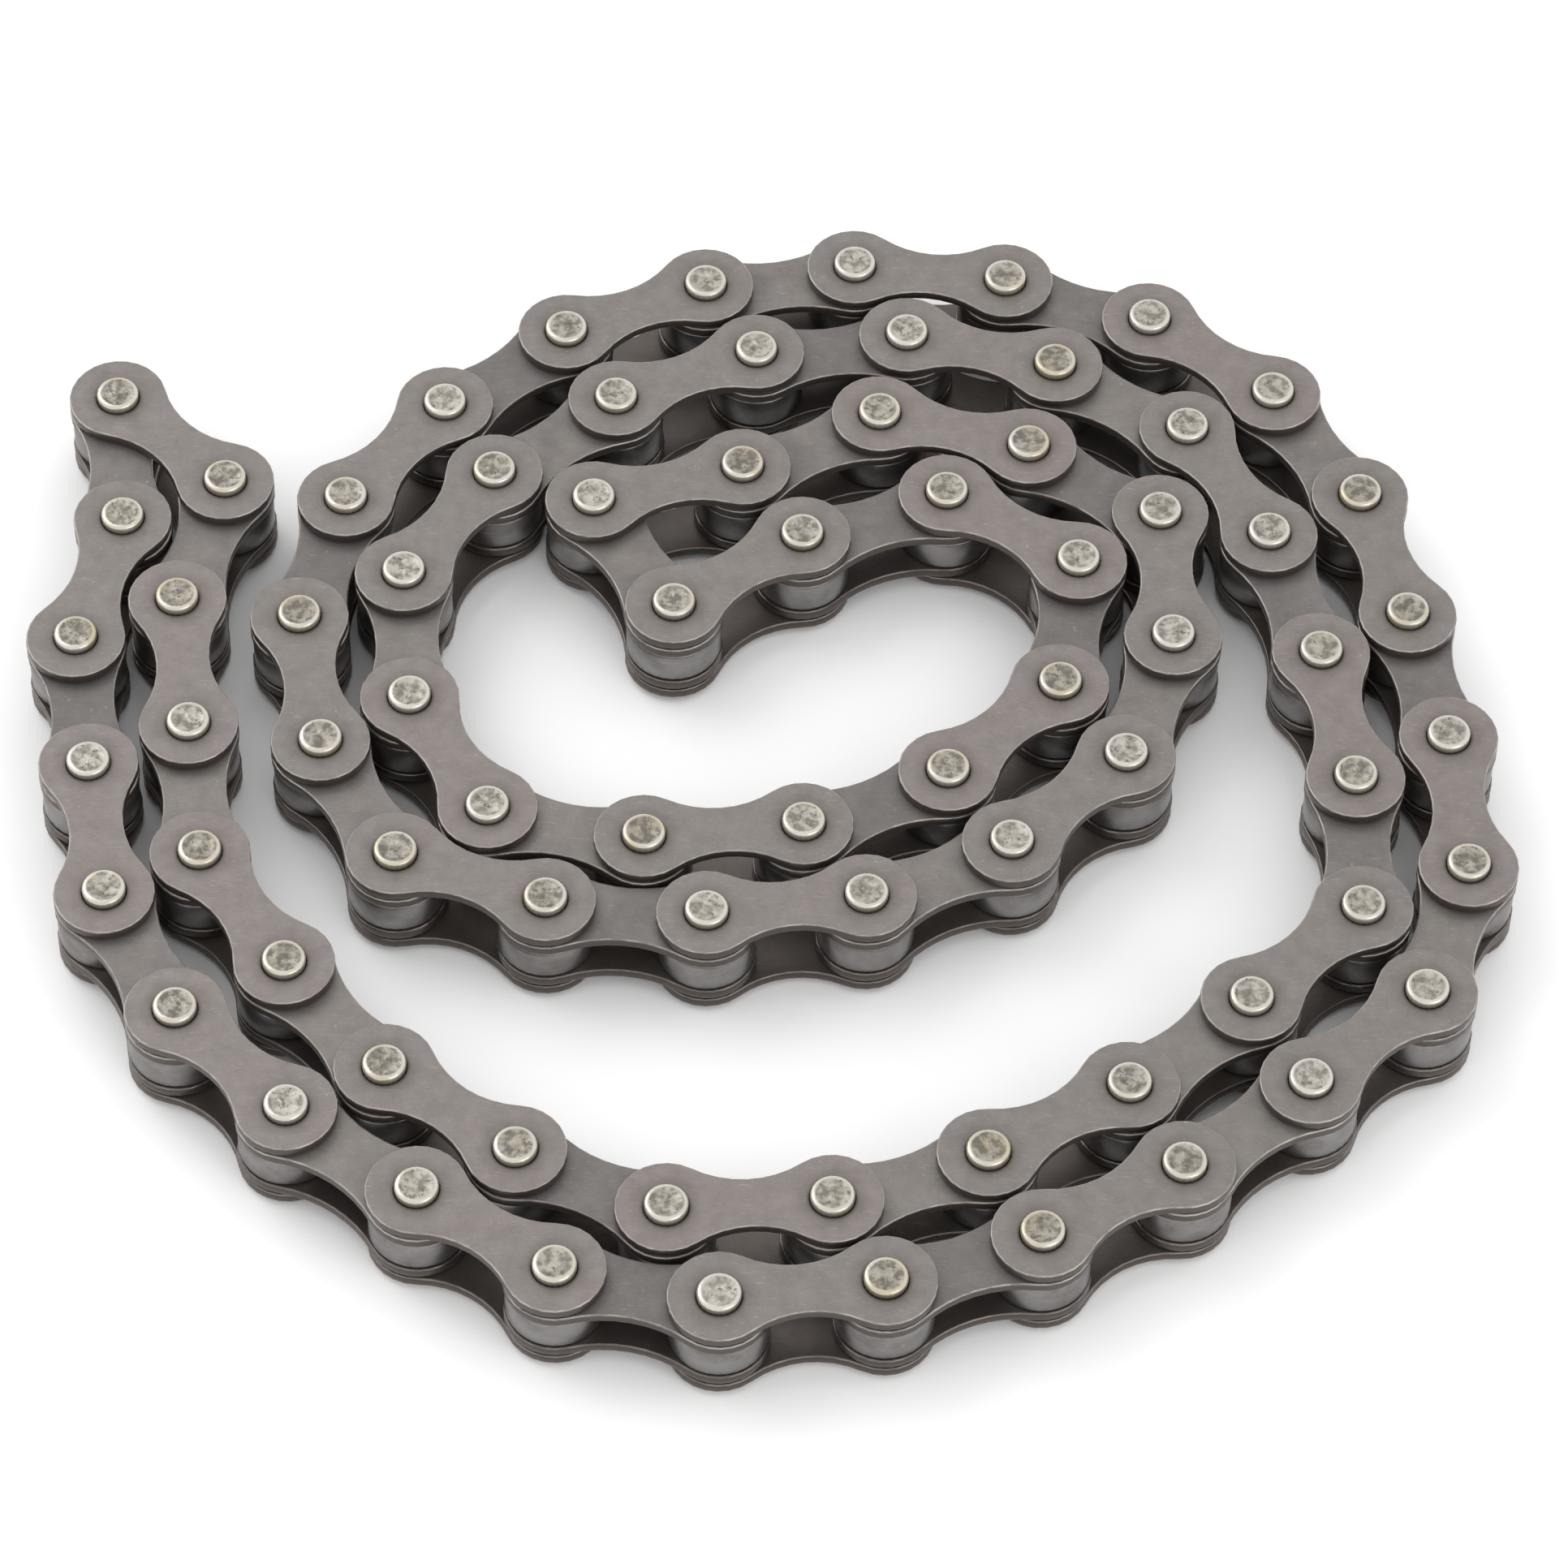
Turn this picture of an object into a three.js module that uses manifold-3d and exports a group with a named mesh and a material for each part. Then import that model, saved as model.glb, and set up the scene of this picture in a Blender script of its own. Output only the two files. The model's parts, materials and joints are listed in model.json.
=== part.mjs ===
// Drive chain of a motorcycle: an endless roller chain of 74 links, laid flat and
// wound up as a spiral of doubled strand. All pins stand along Z. Millimetres, with
// the origin under the middle of the wound chain, on the surface it lies on.
//
// Link k joins pin k to pin k + 1, and the last link closes the loop at pin 0. Even
// links are outer links: two plates riveted on two pins. Odd links are inner links:
// two plates pressed on two bushes, with a roller round each bush.

import * as THREE from 'three';
import { mergeVertices } from 'three/addons/utils/BufferGeometryUtils.js';
import Module from 'manifold-3d';

const wasm = await Module();
wasm.setup();

// Driving dimensions. Heights are measured both ways from the chain's mid-plane.
const pitch = 12.7;
const plateEndRadius = 4;
const outerWaist = 1.95;
const innerWaist = 2.4;
const innerPlate = { low: 1.65, high: 2.55 };
const outerPlate = { low: 2.8, high: 3.7 };
const pinRadius = 1.75;
const pinHalfLength = 4.4;
const pinChamfer = 0.3;
const bushRadius = 2.5;
const rollerRadius = 3.875;
const runningGap = 0.3;

// How many sides stand for a round: coarse in the plain links, finer in the two
// links that are split into their single pieces. A plain link has one solid core for
// a bush and its roller, just narrow enough to stay inside the ends of the plates.
const plainSides = { pin: 6, core: 8 };
const plainCoreRadius = 3.55;
const fineSides = { pin: 12, roller: 16 };
const endArcAngles = [-104, -52, 0, 52, 104];

// The resting shape: the heading of link 0, then the turn of each hinge in whole
// degrees seen from above, positive to the left, from pin 1 on.
const firstHeading = 36;
const innerRunTurns = [
  -14, -54, -65, -38, -19, -19, -18, -47, -27, -38, -17, -15, -15, -23, -18, -28,
  -13, -7, -10, -46, -4, -10, -10, -16, -28, -12, -14, -6, -27, 0, -22,
];
const outerFoldTurns = [62, 138, -19];
const outerRunTurns = [
  22, 1, 20, 16, 9, 3, 22, 18, 13, 10, 8, 4, 30, 22, 8, 3, 17, 20, 19, 13,
  16, 14, 15, 13, 23, 25, 20, 40, 15, 13, 17, 18, 28, 22, 54, 18, 42,
];

// Neighbouring links that lie locked between other strands share one node each.
const joinedRuns = [
  [3, 4], [5, 6], [7, 8], [9, 10], [11, 12], [13, 14], [15, 16], [18, 19], [20, 21],
  [22, 23], [24, 25], [26, 27], [28, 30], [58, 59], [60, 61], [62, 63], [64, 65],
  [66, 67], [68, 69], [70, 72],
];

// The endless chain is opened at two pins. There the outer link keeps only its pin
// heads, and the inner link keeps the middle of the pin.
const openPins = [0, 47];
const splitOuterLink = 42;
const splitInnerLink = 43;

const steel = (color, roughness) =>
  new THREE.MeshStandardMaterial({ color, roughness, metalness: 0.9 });
const outerPlateSteel = steel(0x6b625b, 0.42);
const innerPlateSteel = steel(0x5f5a55, 0.45);
const pinSteel = steel(0xb9b2a6, 0.3);
const bushSteel = steel(0x8d8a86, 0.35);
const rollerSteel = steel(0x9a9896, 0.25);

const along = (degrees, length) => {
  const angle = THREE.MathUtils.degToRad(degrees);
  return new THREE.Vector2(length * Math.cos(angle), length * Math.sin(angle));
};

// Pins by walking from link to link. The last pin is a pitch away from both of its
// neighbours, on the right of the line from one to the other.
function layOutPins() {
  const pins = [new THREE.Vector2()];
  let heading = firstHeading;
  for (const turn of [0, ...innerRunTurns, ...outerFoldTurns, ...outerRunTurns]) {
    heading += turn;
    pins.push(pins.at(-1).clone().add(along(heading, pitch)));
  }
  const gap = pins[0].clone().sub(pins.at(-1));
  const rise = Math.sqrt(pitch ** 2 - gap.lengthSq() / 4);
  const side = new THREE.Vector2(gap.y, -gap.x).setLength(rise);
  pins.push(pins.at(-1).clone().addScaledVector(gap, 0.5).add(side));
  const centre = new THREE.Box2().setFromPoints(pins).getCenter(new THREE.Vector2());
  return pins.map((pin) => pin.sub(centre));
}

const pins = layOutPins();
const linkCount = pins.length;
const pinAfter = (link) => (link + 1) % linkCount;
const isOuter = (link) => link % 2 === 0;

function headingOf(link) {
  return pins[pinAfter(link)].clone().sub(pins[link]).angle();
}

// A regular polygon round a pin of the link, flats on the given radius when it is a
// hole and corners on it when it is solid.
function round(x, radius, sides, isHole = false) {
  const reach = isHole ? radius / Math.cos(Math.PI / sides) : radius;
  const points = Array.from({ length: sides }, (_, i) =>
    along((360 * (i + 0.5)) / sides, reach).add(new THREE.Vector2(x, 0)));
  return isHole ? new THREE.Path(points) : new THREE.Shape(points);
}

// A chain plate seen from above: two round ends drawn in to a narrow waist.
function plateShape(waist, holes) {
  const points = [];
  for (const [x, facing] of [[pitch, 0], [0, 180]]) {
    for (const angle of endArcAngles) {
      points.push(along(facing + angle, plateEndRadius).add(new THREE.Vector2(x, 0)));
    }
    points.push(new THREE.Vector2(pitch / 2, facing === 0 ? waist : -waist));
  }
  const shape = new THREE.Shape(points);
  shape.holes.push(...holes);
  return shape;
}

function extrude(shape, low, high) {
  const settings = { depth: high - low, bevelEnabled: false };
  return new THREE.ExtrudeGeometry(shape, settings).translate(0, 0, low);
}

function solidOf(geometry) {
  const bare = geometry.clone();
  bare.deleteAttribute('normal');
  bare.deleteAttribute('uv');
  const merged = mergeVertices(bare, 1e-4);
  return new wasm.Manifold(new wasm.Mesh({
    numProp: 3,
    vertProperties: new Float32Array(merged.attributes.position.array),
    triVerts: new Uint32Array(merged.index.array),
  }));
}

// Faces that lie in one plane after a join are merged, which drops needless edges.
function geometryOf(solid) {
  const mesh = solid.asOriginal().simplify(1e-4).getMesh();
  const geometry = new THREE.BufferGeometry();
  geometry.setAttribute('position', new THREE.BufferAttribute(mesh.vertProperties, 3));
  geometry.setIndex(new THREE.BufferAttribute(mesh.triVerts, 1));
  return geometry;
}

// The pieces of a plain outer link, with its first pin at the origin and its second
// one along X. A pin that the chain is opened at keeps only its two heads.
function outerLinkParts(link) {
  const plate = plateShape(outerWaist, []);
  const parts = [
    extrude(plate, outerPlate.low, outerPlate.high),
    extrude(plate, -outerPlate.high, -outerPlate.low),
  ];
  for (const [x, pin] of [[0, link], [pitch, pinAfter(link)]]) {
    const outline = round(x, pinRadius, plainSides.pin);
    if (openPins.includes(pin)) {
      parts.push(extrude(outline, outerPlate.low, pinHalfLength));
      parts.push(extrude(outline, -pinHalfLength, -outerPlate.low));
    } else {
      parts.push(extrude(outline, -pinHalfLength, pinHalfLength));
    }
  }
  return parts;
}

// The pieces of a plain inner link, with each bush and its roller as one. A hole
// stays where the pin belongs to a link of another node.
function innerLinkParts(link, partners) {
  const ends = [[0, link, link - 1], [pitch, pinAfter(link), pinAfter(link)]];
  const parts = [];
  const holes = [];
  for (const [x, pin, neighbour] of ends) {
    const core = round(x, plainCoreRadius, plainSides.core);
    if (!partners.includes(neighbour) && !openPins.includes(pin)) {
      const hole = round(x, pinRadius + runningGap, plainSides.pin, true);
      core.holes.push(hole);
      holes.push(hole);
    }
    parts.push(extrude(core, -innerPlate.low, innerPlate.low));
  }
  const plate = plateShape(innerWaist, holes);
  parts.push(extrude(plate, innerPlate.low, innerPlate.high));
  parts.push(extrude(plate, -innerPlate.high, -innerPlate.low));
  return parts;
}

const chain = new THREE.Group();
chain.position.z = pinHalfLength;

// A group whose X axis runs along the link from its first pin.
function linkFrame(link) {
  const frame = new THREE.Group();
  frame.position.set(pins[link].x, pins[link].y, 0);
  frame.rotation.z = headingOf(link);
  frame.updateMatrix();
  return frame;
}

function addMesh(parent, name, geometry, material) {
  const mesh = new THREE.Mesh(geometry, material);
  mesh.name = name;
  parent.add(mesh);
  return mesh;
}

function linkName(link) {
  const kind = isOuter(link) ? 'outer' : 'inner';
  return `${kind}_link_${String(link).padStart(2, '0')}`;
}

// One node for a run of plain links, in the frame of its first link.
function addRun(first, last) {
  const links = Array.from({ length: last - first + 1 }, (_, i) => first + i);
  const frame = linkFrame(first);
  const toFrame = frame.matrix.clone().invert();
  const solids = links.flatMap((link) => {
    const parts = isOuter(link) ? outerLinkParts(link) : innerLinkParts(link, links);
    const placing = toFrame.clone().multiply(linkFrame(link).matrix);
    return parts.map((part) => solidOf(part.applyMatrix4(placing)));
  });
  const whole = solids.reduce((sum, solid) => sum.add(solid));
  const ends = [first, last].map((link) => String(link).padStart(2, '0'));
  const name = first === last ? linkName(first) : `links_${ends.join('_')}`;
  const material = isOuter(first) ? outerPlateSteel : innerPlateSteel;
  addMesh(frame, name, geometryOf(whole), material);
  chain.add(frame);
}

// A pin with chamfered heads, turned about its own axis.
function pinGeometry() {
  const upper = [
    new THREE.Vector2(pinRadius, pinHalfLength - pinChamfer),
    new THREE.Vector2(pinRadius - pinChamfer, pinHalfLength),
    new THREE.Vector2(0, pinHalfLength),
  ];
  const lower = upper.map((point) => new THREE.Vector2(point.x, -point.y)).reverse();
  const profile = [...lower, ...upper];
  return new THREE.LatheGeometry(profile, fineSides.pin).rotateX(Math.PI / 2);
}

function tubeGeometry(radius, bore, sides, halfLength) {
  const outline = round(0, radius, sides);
  outline.holes.push(round(0, bore, fineSides.pin, true));
  return extrude(outline, -halfLength, halfLength);
}

function addPlates(frame, name, waist, bore, { low, high }, material) {
  const holes = [0, pitch].map((x) => round(x, bore, fineSides.pin, true));
  const shape = plateShape(waist, holes);
  addMesh(frame, `${name}_top`, extrude(shape, low, high), material);
  addMesh(frame, `${name}_bottom`, extrude(shape, -high, -low), material);
}

// Two neighbouring links as their ten single pieces.
function addSplitLinks() {
  const outer = linkFrame(splitOuterLink);
  addPlates(outer, 'outer_plate', outerWaist, pinRadius + runningGap, outerPlate,
    outerPlateSteel);
  const inner = linkFrame(splitInnerLink);
  addPlates(inner, 'inner_plate', innerWaist, bushRadius + runningGap, innerPlate,
    innerPlateSteel);
  for (const [x, end] of [[0, 'a'], [pitch, 'b']]) {
    addMesh(outer, `pin_${end}`, pinGeometry(), pinSteel).position.x = x;
    const bush = tubeGeometry(bushRadius, pinRadius + runningGap, fineSides.pin,
      innerPlate.high);
    addMesh(inner, `bush_${end}`, bush, bushSteel).position.x = x;
    const roller = tubeGeometry(rollerRadius, bushRadius + runningGap,
      fineSides.roller, innerPlate.low - runningGap);
    addMesh(inner, `roller_${end}`, roller, rollerSteel).position.x = x;
  }
  chain.add(outer, inner);
}

let next = 0;
while (next < linkCount) {
  const [first, last] = joinedRuns.find((run) => run[0] === next) ?? [next, next];
  if (first !== splitOuterLink && first !== splitInnerLink) addRun(first, last);
  next = last + 1;
}
addSplitLinks();

export default chain;
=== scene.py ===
"""An endless roller chain, wound up flat, built plate by plate and pin by pin."""

import json
import math
import random

import bmesh
import bpy
from mathutils import Matrix, Vector

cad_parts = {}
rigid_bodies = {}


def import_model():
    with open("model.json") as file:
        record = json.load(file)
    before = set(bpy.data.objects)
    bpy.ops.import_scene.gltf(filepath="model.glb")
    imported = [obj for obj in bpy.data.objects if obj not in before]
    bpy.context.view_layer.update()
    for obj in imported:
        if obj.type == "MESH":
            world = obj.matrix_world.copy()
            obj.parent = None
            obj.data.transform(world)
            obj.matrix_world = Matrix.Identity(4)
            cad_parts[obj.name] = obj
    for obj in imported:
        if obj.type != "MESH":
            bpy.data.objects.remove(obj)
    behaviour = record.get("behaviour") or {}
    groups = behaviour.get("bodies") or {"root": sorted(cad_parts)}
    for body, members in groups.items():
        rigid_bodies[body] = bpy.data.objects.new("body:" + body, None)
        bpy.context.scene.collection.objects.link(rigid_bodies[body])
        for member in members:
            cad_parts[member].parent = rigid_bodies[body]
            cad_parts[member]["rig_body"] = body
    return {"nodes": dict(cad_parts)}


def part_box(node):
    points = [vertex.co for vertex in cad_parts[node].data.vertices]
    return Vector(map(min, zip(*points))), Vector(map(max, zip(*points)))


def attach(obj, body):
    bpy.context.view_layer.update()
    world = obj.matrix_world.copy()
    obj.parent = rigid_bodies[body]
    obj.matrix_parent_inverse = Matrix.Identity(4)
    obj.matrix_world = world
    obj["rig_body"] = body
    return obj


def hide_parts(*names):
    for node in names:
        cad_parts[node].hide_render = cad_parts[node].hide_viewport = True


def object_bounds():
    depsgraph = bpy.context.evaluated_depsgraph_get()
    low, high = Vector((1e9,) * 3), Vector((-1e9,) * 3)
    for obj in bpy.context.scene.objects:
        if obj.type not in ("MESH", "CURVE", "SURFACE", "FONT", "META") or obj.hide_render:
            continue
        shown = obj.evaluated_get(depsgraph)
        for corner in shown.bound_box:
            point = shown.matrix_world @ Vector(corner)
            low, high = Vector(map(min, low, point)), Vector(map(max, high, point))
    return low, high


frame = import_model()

bl_info = {
    "name": "Roller Chain",
    "version": (1, 0, 0),
    "blender": (4, 5, 0),
    "location": "View3D > Sidebar > Chain",
    "description": "Builds the plates, pins, bushes and rollers of a wound roller chain",
    "category": "Object",
}

MM = 0.001
CAD_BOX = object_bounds()
LOW, HIGH = (Vector(corner) for corner in CAD_BOX)
MIDDLE = (LOW.z + HIGH.z) / 2
HALF_HEIGHT = (HIGH.z - LOW.z) / 2
PIN_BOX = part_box("pin_a")
BUSH_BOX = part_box("bush_a")
OUTER_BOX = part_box("outer_plate_top")
INNER_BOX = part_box("inner_plate_top")

# Heights above the chain's middle plane.
OUTER_LOW, OUTER_HIGH = (corner[2] - MIDDLE for corner in OUTER_BOX)
INNER_LOW, INNER_HIGH = (corner[2] - MIDDLE for corner in INNER_BOX)
BUSH_END = BUSH_BOX[1][2] - MIDDLE

CORE_BODY = "wound_core"
# Link k joins pin k to pin k + 1, and even links are outer links.
SPLIT_OUTER_LINK = 42
SPLIT_INNER_LINK = 43
OPEN_PINS = (0, 47)
ROLLER_BODIES = {43: "roller_a", 44: "roller_b"}
SHARP_ANGLE = math.radians(50)
WELD = 0.001 * MM
# How far a dent moves a pin head's middle outwards, in mm.
DENT_RANGE = (-0.05, 0.04)
ROUND_STEPS = {"plate end": 18, "plate waist": 8, "hole": 24, "pin": 24, "tube": 32}

CAMERA_PLACE = (1.583 * MM, -331.245 * MM, 454.5 * MM)
CAMERA_ELEVATION = math.radians(53.68)
CAMERA_ROLL = math.radians(-1.329)
CAMERA_LENS, CAMERA_SENSOR = 160.02, 36
FLOOR_HALF_WIDTH = 2.5
SKY_STRENGTH = 1.1
# Name, place and width in metres, and power in watts.
LIGHTS = (("window", (-0.5, 0.35, 0.6), 0.6, 1.6), ("fill", (0.45, -0.5, 0.45), 0.5, 0.9))


# ---------------------------------------------------------------- where the links are


def node_links(name):
    """The links that a CAD node holds, which its name ends with."""
    numbers = [int(word) for word in name.split("_") if word.isdigit()]
    return range(numbers[0], numbers[-1] + 1)


def head_centres(node):
    """Where the pin heads of a CAD node stand, from its topmost corners."""
    corners = {tuple(round(c, 7) for c in v.co.xy) for v in frame["nodes"][node].data.vertices
               if v.co.z > HIGH.z - 0.05 * MM}
    head_width = 4 * MM
    heads = []
    for corner in sorted(corners):
        for head in heads:
            if (Vector(corner) - Vector(head[0])).length < head_width:
                head.append(corner)
                break
        else:
            heads.append([corner])
    return [sum((Vector(c) for c in head), Vector((0, 0))) / len(head) for head in heads]


def walk(path, groups, pitch):
    """Puts the heads in the order in which each is one pitch from the one before.

    The path holds the heads placed so far, and each group those of the next CAD node."""
    if not groups:
        return path
    group, rest = groups[0], groups[1:]
    if not group:
        return walk(path, rest, pitch)
    for head in group:
        if not path or abs((head - path[-1]).length - pitch) < 0.05 * MM:
            left = [other for other in group if other is not head]
            found = walk(path + [head], [left] + rest, pitch)
            if found:
                return found
    return None


def read_chain():
    """Pin places in order, the pitch, and the CAD node and body of each link."""
    nodes = {}
    for name in frame["nodes"]:
        if "link" in name:
            nodes.update({link: name for link in node_links(name)})
    nodes[SPLIT_OUTER_LINK] = "outer_plate_top"
    nodes[SPLIT_INNER_LINK] = "inner_plate_top"
    split_pins = []
    for name in ("pin_a", "pin_b"):
        low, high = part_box(name)
        split_pins.append((Vector(low).xy + Vector(high).xy) / 2)
    pitch = (split_pins[1] - split_pins[0]).length
    groups = []
    for name in dict.fromkeys(nodes[link] for link in sorted(nodes)):
        if name == nodes[SPLIT_OUTER_LINK]:
            groups.append(split_pins)
        elif any(link % 2 == 0 for link in nodes if nodes[link] == name):
            groups.append(head_centres(name))
    pins = walk([], groups, pitch)
    bodies = {link: frame["nodes"][nodes[link]]["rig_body"] for link in nodes}
    return pins, pitch, nodes, bodies


PINS, PITCH, LINK_NODE, LINK_BODY = read_chain()
LINKS = len(PINS)


def link_matrix(link):
    """From a link's own frame, first pin at the origin and second along X, to its place."""
    start, end = PINS[link], PINS[(link + 1) % LINKS]
    turn = math.atan2(end.y - start.y, end.x - start.x)
    return Matrix.Translation((start.x, start.y, MIDDLE)) @ Matrix.Rotation(turn, 4, "Z")


def outer_link_of(pin):
    return pin if pin % 2 == 0 else pin - 1


def inner_link_of(pin):
    return pin if pin % 2 == 1 else (pin - 1) % LINKS


# ---------------------------------------------------------------- sizes and colours


def size(name, description, default):
    """A length that the user can change."""
    return bpy.props.FloatProperty(name=name, description=description, default=default,
                                   min=0, unit="LENGTH", precision=5)


def colour(name, description, default):
    """A colour that the user can change."""
    return bpy.props.FloatVectorProperty(name=name, description=description, size=3,
                                         default=default, min=0, max=1, subtype="COLOR")


class ChainSizes(bpy.types.PropertyGroup):
    """The sizes that shape the chain's pieces."""

    plate_end: size("Plate End Radius", "Radius of a plate's round ends", 4.0 * MM)
    outer_waist: size("Outer Waist", "Half the width of an outer plate's waist", 2.15 * MM)
    inner_waist: size("Inner Waist", "Half the width of an inner plate's waist", 2.55 * MM)
    plate_edge: size("Plate Edge", "Rounding of a plate's edges", 0.13 * MM)
    pin_radius: size("Pin Radius", "Radius of a pin and its heads",
                     (PIN_BOX[1][0] - PIN_BOX[0][0]) / 2)
    pin_rim: size("Pin Rim", "Rounding of a pin head's rim", 0.28 * MM)
    head_dish: size("Head Dish", "Depth of the riveted middle of a pin head", 0.11 * MM)
    bush_radius: size("Bush Radius", "Outer radius of a bush",
                      (BUSH_BOX[1][0] - BUSH_BOX[0][0]) / 2)
    bush_rim: size("Bush Rim", "Rounding of a bush's rims", 0.12 * MM)
    roller_radius: size("Roller Radius", "Outer radius of a roller", 3.875 * MM)
    roller_rim: size("Roller Rim", "Rounding of a roller's rims", 0.22 * MM)
    fit: size("Fit", "Gap between a hole and what turns in it", 0.12 * MM)


class ChainColours(bpy.types.PropertyGroup):
    """The colours of the chain's steels."""

    outer_warm: colour("Outer Warm", "Violet-brown outer plates", (0.246, 0.219, 0.208))
    outer_cool: colour("Outer Cool", "Green-grey outer plates", (0.23, 0.213, 0.197))
    inner_plate: colour("Inner Plate", "Inner plates", (0.178, 0.165, 0.16))
    # Partly painted shade: the sheared sides are made darker than the steel to stand in for
    # the shade that falls on them.
    cut_side_and_shade: colour("Cut Side And Shade", "Sheared sides of the plates, darkened with painted shade", (0.098, 0.082, 0.073))
    # Bare metal, and a painted highlight: on the rounded plate edges this light colour stands
    # in for the bright line that light draws along them.
    bare_metal_and_highlight: colour("Bare Metal And Highlight", "Bare metal of scratches and nicks, and painted highlight on rounded edges", (0.66, 0.6, 0.54))
    # Old oil, and painted shade: round the pins, at the feet of the pin heads and on the
    # plates' inner faces this dark colour stands in for shade.
    oil_and_shade: colour("Oil And Shade", "Old oil where a pin meets its plate", (0.035, 0.022, 0.016))
    head_bright: colour("Head Bright", "Bright metal of the pin heads", (0.64, 0.61, 0.55))
    head_yellow: colour("Head Yellow", "Yellowed metal of the pin heads", (0.54, 0.475, 0.34))
    head_dull: colour("Head Dull", "Dark spots on the pin heads", (0.17, 0.155, 0.13))
    roller: colour("Roller", "Ground steel of the rollers", (0.245, 0.236, 0.23))
    bush: colour("Bush", "Ground steel of the bushes", (0.18, 0.17, 0.16))
    floor: colour("Floor", "The plain surface under the chain", (0.98, 0.98, 0.98))
    floor_grain: colour("Floor Grain", "Faint grain of the floor", (0.8, 0.8, 0.8))


def sizes():
    return bpy.context.scene.chain_sizes


def colours():
    return bpy.context.scene.chain_colours


# ---------------------------------------------------------------- shader maths


class Value:
    """A socket or a number in a shader, with arithmetic that adds Math nodes."""

    def __init__(self, finish, socket):
        self.finish = finish
        self.socket = socket

    def math(self, operation, *values):
        inputs = dict(enumerate(values))
        node = self.finish.node("ShaderNodeMath", {"operation": operation}, inputs)
        return Value(self.finish, node.outputs[0])

    def __add__(self, other):
        return self.math("ADD", self, other)

    def __sub__(self, other):
        return self.math("SUBTRACT", self, other)

    def __rsub__(self, other):
        return self.math("SUBTRACT", other, self)

    def __mul__(self, other):
        return self.math("MULTIPLY", self, other)

    def __abs__(self):
        return self.math("ABSOLUTE", self)

    __radd__ = __add__
    __rmul__ = __mul__

    def smallest(self, other):
        return self.math("MINIMUM", self, other)

    def step(self, low, high):
        """0 below low and 1 above high, with a smooth rise between."""
        settings = {"interpolation_type": "SMOOTHSTEP", "clamp": True}
        inputs = {"Value": self, "From Min": low, "From Max": high}
        node = self.finish.node("ShaderNodeMapRange", settings, inputs)
        return Value(self.finish, node.outputs["Result"])


class Finish:
    """A material on a Principled shader, built node by node."""

    def __init__(self, name, metallic):
        self.material = bpy.data.materials.new(name)
        self.material.use_nodes = True
        self.tree = self.material.node_tree
        self.shader = self.tree.nodes["Principled BSDF"]
        self.shader.inputs["Metallic"].default_value = metallic

    def node(self, kind, settings=None, inputs=None):
        """Adds a node, sets it up, then sets or links its sockets."""
        node = self.tree.nodes.new(kind)
        for key, setting in (settings or {}).items():
            setattr(node, key, setting)
        for key, value in (inputs or {}).items():
            self.put(node.inputs[key], value)
        return node

    def put(self, socket, value):
        """Links a value to a socket, or sets a number or a colour on it."""
        if isinstance(value, Value):
            self.tree.links.new(value.socket, socket)
        elif isinstance(value, bpy.types.NodeSocket):
            self.tree.links.new(value, socket)
        elif socket.type == "RGBA" and len(value) == 3:
            socket.default_value = (*value, 1)
        else:
            socket.default_value = value

    def attribute(self, name):
        """A number that the mesh holds for each corner."""
        node = self.node("ShaderNodeAttribute", {"attribute_name": name})
        return Value(self, node.outputs["Fac"])

    def object_point(self, stretch=(1, 1, 1)):
        """A point in metres on the chain, stretched along the axes for streaks."""
        point = self.node("ShaderNodeTexCoord").outputs["Object"]
        mapping = self.node("ShaderNodeMapping", {}, {"Vector": point, "Scale": stretch})
        return mapping.outputs["Vector"]

    def noise(self, scale, detail=3, roughness=0.6, stretch=(1, 1, 1)):
        inputs = {"Vector": self.object_point(stretch), "Scale": scale, "Detail": detail,
                  "Roughness": roughness}
        node = self.node("ShaderNodeTexNoise", {}, inputs)
        return Value(self, node.outputs[0])

    def upright(self):
        """How far the surface faces up or down: 1 on a flat face and 0 on a side."""
        normal = self.node("ShaderNodeTexCoord").outputs["Normal"]
        split = self.node("ShaderNodeSeparateXYZ", {}, {"Vector": normal})
        return abs(Value(self, split.outputs["Z"]))

    def mix(self, factor, first, second):
        """Mixes two colours: the first at factor 0 and the second at 1."""
        settings = {"data_type": "RGBA", "blend_type": "MIX"}
        node = self.node("ShaderNodeMix", settings)
        factor_in, first_in, second_in = (node.inputs[i] for i in (0, 6, 7))
        self.put(factor_in, factor)
        self.put(first_in, first)
        self.put(second_in, second)
        return node.outputs[2]

    def bump(self, height, strength, distance):
        inputs = {"Height": height, "Strength": strength, "Distance": distance}
        return self.node("ShaderNodeBump", {}, inputs).outputs["Normal"]

    def finish(self, base_colour, roughness, normal):
        """Feeds the shader with what changes over the surface, and returns the material."""
        self.put(self.shader.inputs["Base Color"], base_colour)
        self.put(self.shader.inputs["Roughness"], roughness)
        self.put(self.shader.inputs["Normal"], normal)
        return self.material


# ---------------------------------------------------------------- finishes


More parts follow.
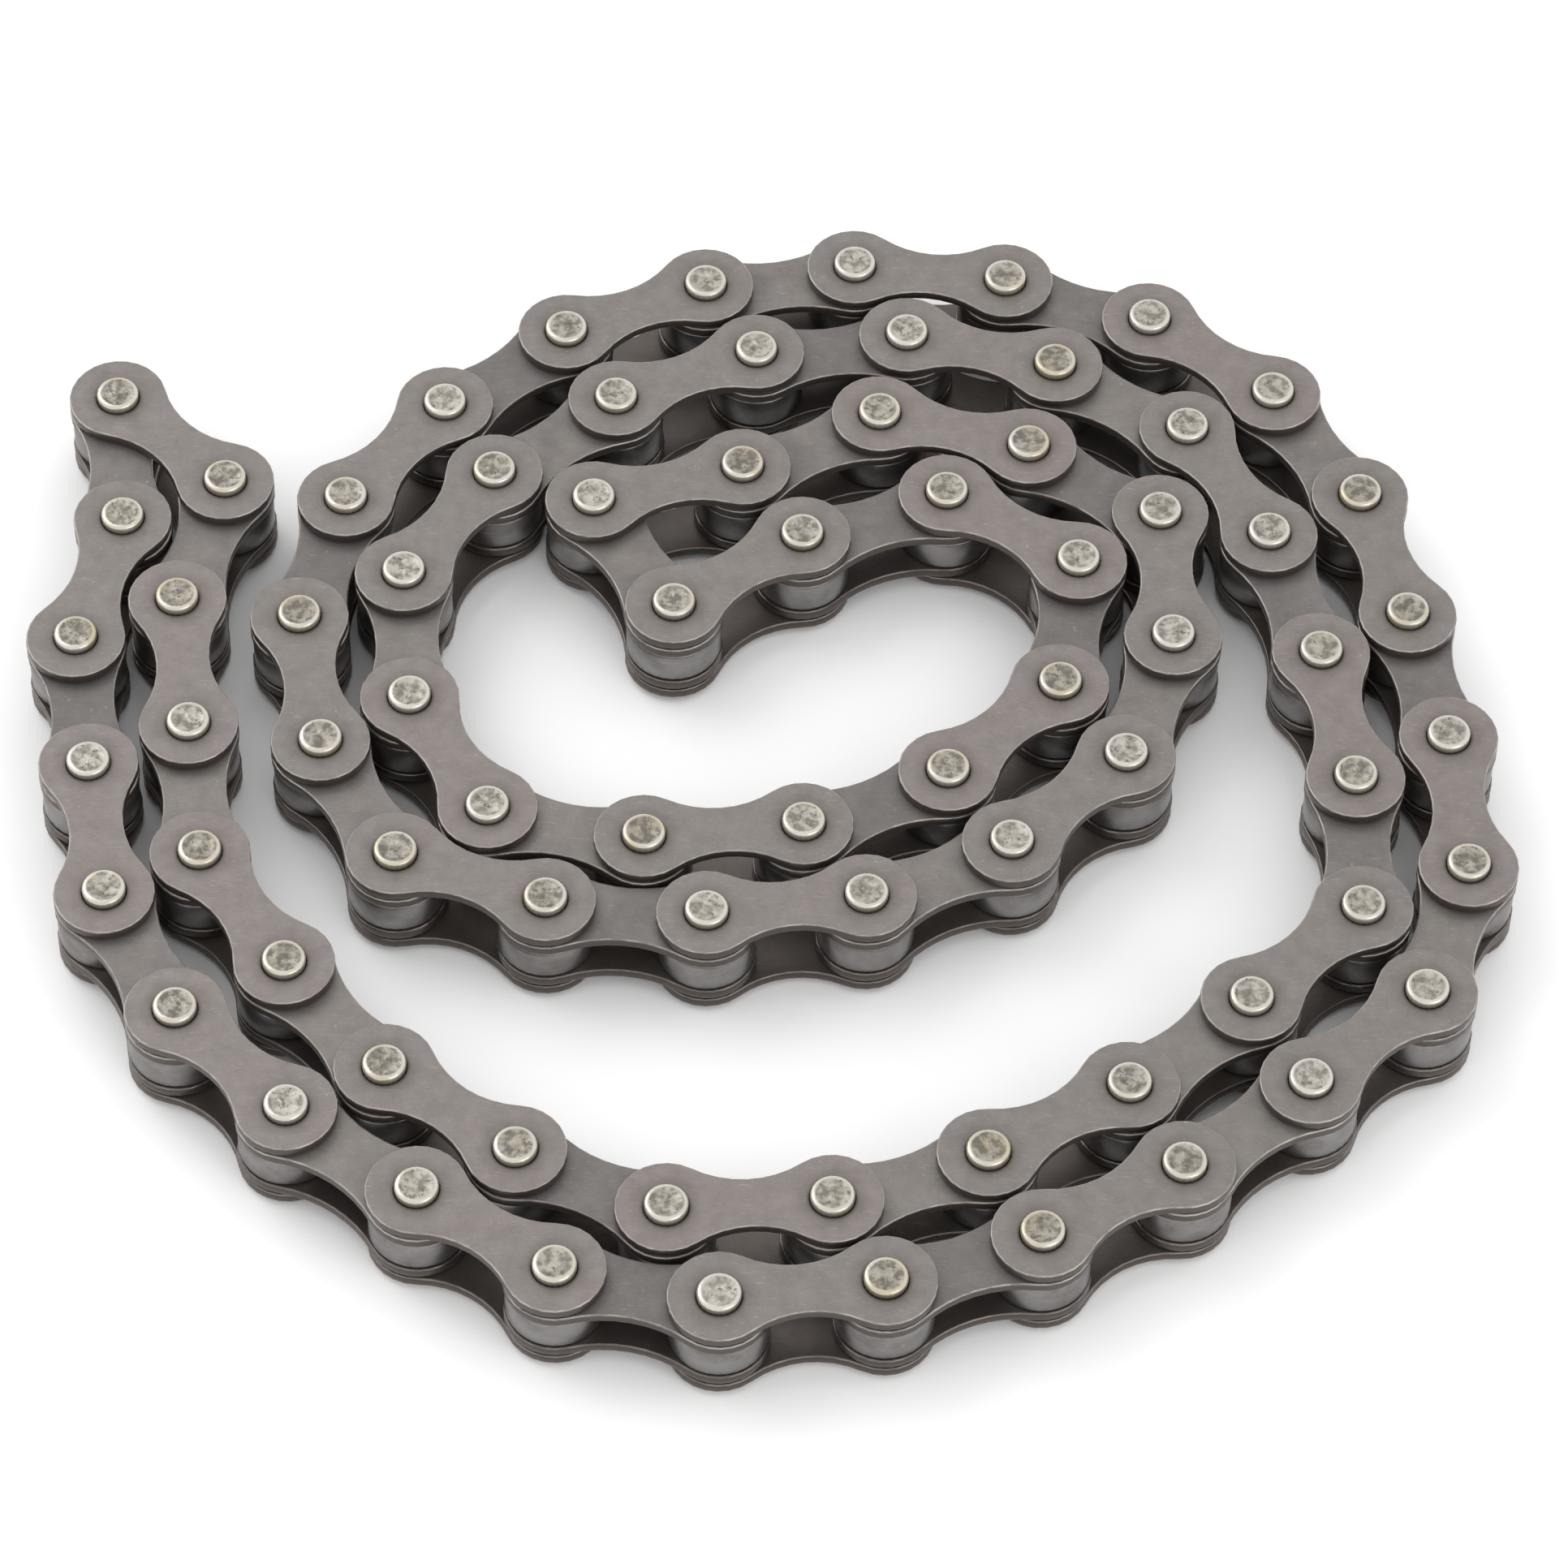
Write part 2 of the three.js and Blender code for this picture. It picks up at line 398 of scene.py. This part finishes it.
def plate_finish(name, warm, cool):
    """Tempered plate: its tint differs from link to link, oil and painted shade stand round
    each pin, painted shade darkens its inner face and its sides, fine scratches run over it,
    and its rounded edges are worn bare in places and carry a painted highlight."""
    tones = colours()
    finish = Finish(name, 0.62)
    tint = finish.attribute("tint")
    pin_distance = finish.attribute("pin_distance")
    inside = finish.attribute("inside")
    cloud = finish.noise(260, 4)
    grain = finish.noise(5200, 3, 0.7)
    scratches = finish.noise(900, 2, 0.8, (1, 9, 1)).step(0.6, 0.72)
    specks = finish.noise(1500, 2).step(0.7, 0.78)
    upright = finish.upright()
    side = 1 - upright.step(0.1, 0.4)
    rounded = (1 - side) * (1 - upright.step(0.85, 0.99))
    patches = finish.noise(620, 4, 0.7)
    base = finish.mix((tint + (cloud - 0.5) * 1.6).step(0.1, 0.9), warm, cool)
    base = finish.mix((patches - 0.35) * 0.6, base, tones.oil_and_shade)
    base = finish.mix(scratches * 0.16 + specks * 0.2, base, tones.bare_metal_and_highlight)
    base = finish.mix((grain - 0.5) * 0.3, base, tones.oil_and_shade)
    # Painted shade: every side face of the plate takes the dark side colour.
    base = finish.mix(side, base, tones.cut_side_and_shade)
    # Painted highlight, partly bare worn metal: the rounded edges are lightened in patches
    # along their length.
    wear_and_highlight = finish.noise(700, 3).step(0.3, 0.7)
    base = finish.mix(rounded * (wear_and_highlight * 0.4 + 0.05), base, tones.bare_metal_and_highlight)
    # Oil and painted shade: a dark ring and a softer halo round each pin stand in for the oil
    # stain and the shadow round the pin head.
    stain_and_shade = (1 - pin_distance.step(0.0, 0.4)) * 0.4
    halo_stain_and_shade = (1 - pin_distance.step(0.1, 1.5)) * 0.2
    # Painted shade: the plate's inner face, seen between the strands, is darkened to stand in
    # for the shade between the plates.
    base = finish.mix((stain_and_shade + halo_stain_and_shade + inside * 0.55).smallest(1), base, tones.oil_and_shade)
    roughness = 0.42 - rounded * 0.14 + cloud * 0.1 - scratches * 0.08 - inside * 0.14
    height = grain * 0.6 + scratches * 0.5 + cloud * 0.8
    return finish.finish(base, roughness, finish.bump(height, 0.35, 0.03 * MM))


def pin_finish():
    """Bright pin: mottled and pitted on the riveted middle, polished on the rim."""
    tones = colours()
    finish = Finish("pin_steel", 0.85)
    middle = finish.attribute("riveted")
    mottle = finish.noise(1250, 5, 0.62)
    pits = finish.noise(2600, 2).step(0.58, 0.7)
    yellowing = finish.noise(420, 2).step(0.35, 0.7)
    age = finish.attribute("tint")
    dark = (mottle.step(0.36, 0.64) * 0.55 + pits * 0.4 + age * 0.25 + 0.25) * middle
    base = finish.mix(yellowing * age, tones.head_bright, tones.head_yellow)
    base = finish.mix((dark + 0.04).smallest(1), base, tones.head_dull)
    # Painted shade, partly oil: the pin's side below the rim is darkened to make the dark
    # ring under the head.
    base = finish.mix(finish.attribute("foot") * 0.55, base, tones.oil_and_shade)
    roughness = 0.2 + middle * 0.16 + mottle * 0.1
    height = mottle * middle + pits * middle * 0.6
    return finish.finish(base, roughness, finish.bump(height, 0.7, 0.08 * MM))


def ground_finish(name, tone, metallic, smoothest):
    """Ground steel: fine rings round the piece, a soft oily cloud and a few nicks. Its
    roughness rises from the smoothest that it has."""
    tones = colours()
    finish = Finish(name, metallic)
    rings = finish.noise(520, 3, 0.7, (1, 1, 14))
    cloud = finish.noise(300, 3)
    nicks = finish.noise(1900, 2).step(0.68, 0.76)
    base = finish.mix(cloud.step(0.35, 0.75) * 0.45, tone, tones.oil_and_shade)
    base = finish.mix(rings.step(0.5, 0.75) * 0.14 + nicks * 0.2, base, tones.bare_metal_and_highlight)
    roughness = rings * 0.14 + cloud * 0.1 + smoothest
    height = rings * 0.5 + nicks * 0.5
    return finish.finish(base, roughness, finish.bump(height, 0.3, 0.04 * MM))


def floor_finish():
    """Pale matt board with a faint grain."""
    finish = Finish("pale_floor", 0)
    grain = finish.noise(90, 3)
    base = finish.mix(grain * 0.04, colours().floor, colours().floor_grain)
    return finish.finish(base, 0.6 + grain * 0.05, finish.bump(grain, 0.02, 0.1 * MM))


# ---------------------------------------------------------------- shapes


def arc(bm, start, centre, angle, steps):
    """Draws an arc from a corner round a centre, and returns the corner it ends at."""
    made = bmesh.ops.spin(bm, geom=[start], cent=centre, axis=(0, 0, 1), angle=angle,
                          steps=steps)
    return next(g for g in made["geom_last"] if isinstance(g, bmesh.types.BMVert))


def plate_outline(bm, waist):
    """The outline of a plate: round ends that run smoothly into a drawn-in waist."""
    radius = sizes().plate_end
    half = PITCH / 2
    waist_radius = (half**2 + waist**2 - radius**2) / (2 * (radius - waist))
    lean = math.atan2(waist + waist_radius, half)
    end_turn = 2 * (math.pi - lean)
    waist_turn = math.pi - 2 * lean
    waist_centre = Vector((half, waist + waist_radius, 0))
    corner = bm.verts.new((PITCH + radius * math.cos(math.pi - lean),
                           -radius * math.sin(math.pi - lean), 0))
    end_steps, waist_steps = ROUND_STEPS["plate end"], ROUND_STEPS["plate waist"]
    corner = arc(bm, corner, (PITCH, 0, 0), end_turn, end_steps)
    corner = arc(bm, corner, waist_centre, -waist_turn, waist_steps)
    corner = arc(bm, corner, (0, 0, 0), end_turn, end_steps)
    arc(bm, corner, (half, -waist_centre.y, 0), -waist_turn, waist_steps)
    bmesh.ops.remove_doubles(bm, verts=bm.verts[:], dist=WELD)


def round_edges(bm, width, segments):
    """Bevels every sharp edge, and keeps the flat faces flat in the shading."""
    sharp = [edge for edge in bm.edges if edge.calc_face_angle(0) > SHARP_ANGLE]
    bmesh.ops.bevel(bm, geom=sharp, offset=width, offset_type="OFFSET", segments=segments,
                    profile=0.5, affect="EDGES", material=-1, clamp_overlap=True)
    bm.normal_update()
    for face in bm.faces:
        face.smooth = True
    for edge in bm.edges:
        flats = [abs(face.normal.z) > 0.999 for face in edge.link_faces]
        edge.smooth = flats.count(True) != 1


def plate_shape(waist, hole, low, high):
    """A plate with its two holes, in its link's frame, from one height to another."""
    bm = bmesh.new()
    plate_outline(bm, waist)
    for x in (0, PITCH):
        bmesh.ops.create_circle(bm, cap_ends=False, radius=hole, segments=ROUND_STEPS["hole"],
                                matrix=Matrix.Translation((x, 0, 0)))
    bmesh.ops.triangle_fill(bm, use_beauty=True, use_dissolve=False, edges=bm.edges[:],
                            normal=(0, 0, 1))
    bmesh.ops.solidify(bm, geom=bm.faces[:], thickness=high - low)
    bmesh.ops.translate(bm, verts=bm.verts[:], vec=(0, 0, high))
    bmesh.ops.recalc_face_normals(bm, faces=bm.faces[:])
    round_edges(bm, sizes().plate_edge, 3)
    mark_plate(bm, hole, (low + high) / 2)
    return bm


def mark_plate(bm, hole, middle):
    """Stores in each corner how far it is from the nearest hole, in mm, and whether it
    is on the plate's inner face."""
    distance = bm.verts.layers.float.new("pin_distance")
    inside = bm.verts.layers.float.new("inside")
    for vert in bm.verts:
        reach = min((vert.co.xy - Vector((x, 0))).length for x in (0, PITCH))
        vert[distance] = max(0, (reach - hole) / MM)
        vert[inside] = float(vert.co.z < middle)


def turned_shape(profile, steps, closed):
    """Turns a profile of (radius, height) corners about the Z axis."""
    bm = bmesh.new()
    corners = [bm.verts.new((radius, 0, height)) for radius, height in profile]
    edges = [bm.edges.new(pair) for pair in zip(corners, corners[1:])]
    if closed:
        edges.append(bm.edges.new((corners[-1], corners[0])))
    bmesh.ops.spin(bm, geom=corners + edges, cent=(0, 0, 0), axis=(0, 0, 1),
                   angle=math.tau, steps=steps, use_merge=True)
    bmesh.ops.remove_doubles(bm, verts=bm.verts[:], dist=WELD)
    bmesh.ops.recalc_face_normals(bm, faces=bm.faces[:])
    for face in bm.faces:
        face.smooth = True
    return bm


def head_profile():
    """A pin's profile from its foot in the plate up over the rim to its dished head."""
    radius, rim, dish = sizes().pin_radius, sizes().pin_rim, sizes().head_dish
    rounding = [(radius - rim + rim * math.cos(a), HALF_HEIGHT - rim + rim * math.sin(a))
                for a in (0, math.pi / 6, math.pi / 3, math.pi / 2)]
    middle = radius - 1.6 * rim
    dished = ((middle, 0.4), (middle * 0.6, 1), (middle * 0.25, 0.7), (0, 0.8))
    return [(radius, OUTER_HIGH), *rounding,
            *((reach, HALF_HEIGHT - depth * dish) for reach, depth in dished)]


def mark_pin(bm):
    """Marks the riveted middle of the heads and the shaded foot of their sides."""
    riveted = bm.verts.layers.float.new("riveted")
    foot = bm.verts.layers.float.new("foot")
    middle = sizes().pin_radius - 1.3 * sizes().pin_rim
    foot_height = HALF_HEIGHT - 2 * sizes().pin_rim
    for vert in bm.verts:
        at_head = abs(vert.co.z) > HALF_HEIGHT - 1.5 * sizes().pin_rim
        vert[riveted] = float(at_head and vert.co.xy.length < middle)
        vert[foot] = float(abs(vert.co.z) < foot_height)


def pin_shape():
    """A whole pin with a riveted head at each end."""
    upper = head_profile()
    lower = [(radius, -height) for radius, height in reversed(upper)]
    bm = turned_shape(lower + upper, ROUND_STEPS["pin"], False)
    mark_pin(bm)
    return bm


def pin_heads_shape():
    """Only the two heads of a pin, each down to the inner face of its plate."""
    cut = [(0, OUTER_LOW), (sizes().pin_radius, OUTER_LOW)]
    bm = turned_shape(cut + head_profile(), ROUND_STEPS["pin"], False)
    mirror = bmesh.ops.duplicate(bm, geom=bm.verts[:] + bm.edges[:] + bm.faces[:])["geom"]
    verts = [g for g in mirror if isinstance(g, bmesh.types.BMVert)]
    bmesh.ops.scale(bm, vec=(1, 1, -1), verts=verts)
    bmesh.ops.recalc_face_normals(bm, faces=bm.faces[:])
    mark_pin(bm)
    return bm


def pin_core_shape():
    """The middle of a pin, as long as the bush that it turns in."""
    radius = sizes().pin_radius
    profile = [(0, -BUSH_END), (radius, -BUSH_END), (radius, BUSH_END), (0, BUSH_END)]
    bm = turned_shape(profile, ROUND_STEPS["pin"], False)
    mark_pin(bm)
    return bm


def tube_shape(radius, bore, half, rim):
    """A bush or roller: a tube with rounded rims outside and broken ones inside."""
    angles = (0, math.pi / 4, math.pi / 2)
    upper = [(radius - rim + rim * math.cos(a), half - rim + rim * math.sin(a))
             for a in angles]
    upper += [(bore + rim / 2, half), (bore, half - rim / 2)]
    lower = [(r, -h) for r, h in reversed(upper)]
    return turned_shape(upper + lower, ROUND_STEPS["tube"], True)


# ---------------------------------------------------------------- pieces


def jitter_heads(bm, dice):
    """Small dents in the riveted middle, different on every pin."""
    layer = bm.verts.layers.float["riveted"]
    for vert in bm.verts:
        if vert[layer] > 0:
            outwards = math.copysign(1, vert.co.z)
            vert.co.z += dice.uniform(*DENT_RANGE) * MM * outwards


def add_piece(name, shape, matrix, material, link, body=None, tint=0.5):
    """Puts a copy of a shape in its place as a piece that rides on its link's body."""
    bm = shape.copy()
    bmesh.ops.transform(bm, matrix=matrix, verts=bm.verts[:])
    layer = bm.verts.layers.float.new("tint")
    for vert in bm.verts:
        vert[layer] = tint
    mesh = bpy.data.meshes.new(name)
    bm.to_mesh(mesh)
    bm.free()
    mesh.materials.append(material)
    piece = bpy.data.objects.new(name, mesh)
    bpy.context.scene.collection.objects.link(piece)
    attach(piece, body or LINK_BODY[link])
    return piece


def gather(shape, places):
    """One mesh that holds a copy of a shape at each place."""
    whole = bmesh.new()
    mesh = bpy.data.meshes.new("copy")
    for place in places:
        copy = shape.copy()
        bmesh.ops.transform(copy, matrix=place, verts=copy.verts[:])
        copy.to_mesh(mesh)
        copy.free()
        whole.from_mesh(mesh)
    bpy.data.meshes.remove(mesh)
    return whole


def tint_of(link, side):
    """A tint of its own for each plate, the same on each run."""
    return random.Random(f"plate {link} {side}").random()


def add_plates(kind, links, shape, material, split_link):
    """The plates above and below, for every link of one kind."""
    turned_over = Matrix.Rotation(math.pi, 4, "X")
    for link in links:
        for side, flip in (("top", Matrix.Identity(4)), ("bottom", turned_over)):
            piece = add_piece(f"{kind}_plate_{side}_{link:02d}", shape,
                              link_matrix(link) @ flip, material,
                              link, tint=tint_of(link, side))
            node = f"{kind}_plate_{side}" if link == split_link else LINK_NODE[link]
            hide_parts(node)


class CHAIN_OT_outer_plates(bpy.types.Operator):
    """Adds the outer plates, two to each outer link"""

    bl_idname = "chain.outer_plates"
    bl_label = "Outer Plates"

    def execute(self, context):
        tones = colours()
        material = plate_finish("outer_plate_steel", tones.outer_warm, tones.outer_cool)
        shape = plate_shape(sizes().outer_waist, sizes().pin_radius + sizes().fit / 4,
                            OUTER_LOW, OUTER_HIGH)
        add_plates("outer", range(0, LINKS, 2), shape, material, SPLIT_OUTER_LINK)
        return {"FINISHED"}


class CHAIN_OT_inner_plates(bpy.types.Operator):
    """Adds the inner plates, two to each inner link"""

    bl_idname = "chain.inner_plates"
    bl_label = "Inner Plates"

    def execute(self, context):
        tones = colours()
        material = plate_finish("inner_plate_steel", tones.inner_plate, tones.outer_cool)
        shape = plate_shape(sizes().inner_waist, sizes().bush_radius + sizes().fit / 4,
                            INNER_LOW, INNER_HIGH)
        add_plates("inner", range(1, LINKS, 2), shape, material, SPLIT_INNER_LINK)
        return {"FINISHED"}


class CHAIN_OT_pins(bpy.types.Operator):
    """Adds the pins, with their heads and cores apart where the chain is opened"""

    bl_idname = "chain.pins"
    bl_label = "Pins"

    def execute(self, context):
        material = pin_finish()
        whole, heads, core = pin_shape(), pin_heads_shape(), pin_core_shape()
        split_pins = {SPLIT_OUTER_LINK: "pin_a", SPLIT_OUTER_LINK + 1: "pin_b"}
        for pin, place in enumerate(PINS):
            dice = random.Random(f"pin {pin}")
            opened = pin in OPEN_PINS
            shape = (heads if opened else whole).copy()
            jitter_heads(shape, dice)
            spin = Matrix.Rotation(dice.uniform(0, math.tau), 4, "Z")
            matrix = Matrix.Translation((place.x, place.y, MIDDLE)) @ spin
            link = outer_link_of(pin)
            piece = add_piece(f"pin_{pin:02d}", shape, matrix, material, link,
                              tint=dice.random())
            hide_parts(split_pins.get(pin, LINK_NODE[link]))
            if opened:
                inner = inner_link_of(pin)
                piece = add_piece(f"pin_core_{pin:02d}", core, matrix, material,
                                  inner)
                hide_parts(LINK_NODE[inner])
        return {"FINISHED"}


class CHAIN_OT_bushes(bpy.types.Operator):
    """Adds the bushes that turn on the pins, those of the rigid core as one piece"""

    bl_idname = "chain.bushes"
    bl_label = "Bushes"

    def execute(self, context):
        material = ground_finish("bush_steel", colours().bush, 0.7, 0.35)
        shape = tube_shape(sizes().bush_radius, sizes().pin_radius + sizes().fit, BUSH_END,
                           sizes().bush_rim)
        split_bushes = {SPLIT_INNER_LINK: "bush_a", SPLIT_INNER_LINK + 1: "bush_b"}
        groups = {}
        for pin in range(LINKS):
            in_core = LINK_BODY[inner_link_of(pin)] == CORE_BODY
            groups.setdefault("bushes_core" if in_core else f"bush_{pin:02d}", []).append(pin)
        for name, pins in groups.items():
            bushes = gather(shape, [Matrix.Translation((*PINS[pin], MIDDLE)) for pin in pins])
            link = inner_link_of(pins[0])
            piece = add_piece(name, bushes, Matrix.Identity(4), material, link)
            nodes = {split_bushes.get(pin, LINK_NODE[inner_link_of(pin)]) for pin in pins}
            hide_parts(*sorted(nodes))
        return {"FINISHED"}


class CHAIN_OT_rollers(bpy.types.Operator):
    """Adds the rollers that turn on the bushes"""

    bl_idname = "chain.rollers"
    bl_label = "Rollers"

    def execute(self, context):
        material = ground_finish("roller_steel", colours().roller, 0.9, 0.25)
        shape = tube_shape(sizes().roller_radius, sizes().bush_radius + sizes().fit,
                           INNER_LOW - sizes().fit, sizes().roller_rim)
        for pin, place in enumerate(PINS):
            link = inner_link_of(pin)
            body = ROLLER_BODIES.get(pin)
            matrix = Matrix.Translation((place.x, place.y, MIDDLE))
            piece = add_piece(f"roller_{pin:02d}", shape, matrix, material,
                              link, body)
            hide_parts(body or LINK_NODE[link])
        return {"FINISHED"}


# ---------------------------------------------------------------- stage


def add_light(name, place, width, power):
    """A square soft light that is aimed at the origin."""
    light = bpy.data.lights.new(name, "AREA")
    light.size = width
    light.energy = power
    lamp = bpy.data.objects.new(name, light)
    lamp.location = place
    lamp.rotation_euler = (-Vector(place)).to_track_quat("-Z", "Y").to_euler()
    bpy.context.scene.collection.objects.link(lamp)


def add_camera():
    """A long lens from the front, which looks down at the chain and leans a little."""
    right = Vector((1, 0, 0))
    up = Vector((0, math.sin(CAMERA_ELEVATION), math.cos(CAMERA_ELEVATION)))
    back = Vector((0, -math.cos(CAMERA_ELEVATION), math.sin(CAMERA_ELEVATION)))
    side = right * math.cos(CAMERA_ROLL) - up * math.sin(CAMERA_ROLL)
    head = right * math.sin(CAMERA_ROLL) + up * math.cos(CAMERA_ROLL)
    data = bpy.data.cameras.new("camera")
    data.sensor_width = CAMERA_SENSOR
    data.lens = CAMERA_LENS
    camera = bpy.data.objects.new("camera", data)
    turn = Matrix((side, head, back)).transposed().to_4x4()
    camera.matrix_world = Matrix.Translation(CAMERA_PLACE) @ turn
    bpy.context.scene.collection.objects.link(camera)
    bpy.context.scene.camera = camera


class CHAIN_OT_stage(bpy.types.Operator):
    """Adds the floor, the soft lights and the camera"""

    bl_idname = "chain.stage"
    bl_label = "Stage"

    def execute(self, context):
        bm = bmesh.new()
        bmesh.ops.create_grid(bm, x_segments=1, y_segments=1, size=FLOOR_HALF_WIDTH)
        mesh = bpy.data.meshes.new("floor")
        bm.to_mesh(mesh)
        bm.free()
        mesh.materials.append(floor_finish())
        floor = bpy.data.objects.new("floor", mesh)
        context.scene.collection.objects.link(floor)
        for light in LIGHTS:
            add_light(*light)
        world = bpy.data.worlds.new("studio")
        world.use_nodes = True
        sky = world.node_tree.nodes["Background"]
        sky.inputs["Color"].default_value = (1, 1, 1, 1)
        sky.inputs["Strength"].default_value = SKY_STRENGTH
        context.scene.world = world
        context.scene.view_settings.view_transform = "Standard"
        add_camera()
        return {"FINISHED"}


class CHAIN_PT_sidebar(bpy.types.Panel):
    """Lists the steps that build the chain, and its sizes and colours"""

    bl_idname = "CHAIN_PT_sidebar"
    bl_label = "Roller Chain"
    bl_space_type = "VIEW_3D"
    bl_region_type = "UI"
    bl_category = "Chain"

    def draw(self, context):
        for step in STEPS:
            self.layout.operator(step.bl_idname)
        for group in (context.scene.chain_sizes, context.scene.chain_colours):
            for key in group.bl_rna.properties.keys():
                if key not in ("rna_type", "name"):
                    self.layout.prop(group, key)


STEPS = (CHAIN_OT_stage, CHAIN_OT_outer_plates, CHAIN_OT_inner_plates, CHAIN_OT_pins,
         CHAIN_OT_bushes, CHAIN_OT_rollers)
CLASSES = (ChainSizes, ChainColours, *STEPS, CHAIN_PT_sidebar)


def register():
    for cls in CLASSES:
        bpy.utils.register_class(cls)
    bpy.types.Scene.chain_sizes = bpy.props.PointerProperty(type=ChainSizes)
    bpy.types.Scene.chain_colours = bpy.props.PointerProperty(type=ChainColours)


def unregister():
    del bpy.types.Scene.chain_sizes
    del bpy.types.Scene.chain_colours
    for cls in reversed(CLASSES):
        bpy.utils.unregister_class(cls)


def main():
    register()
    bpy.ops.chain.stage()
    bpy.ops.chain.outer_plates()
    bpy.ops.chain.inner_plates()
    bpy.ops.chain.pins()
    bpy.ops.chain.bushes()
    bpy.ops.chain.rollers()


if __name__ == "__main__":
    main()
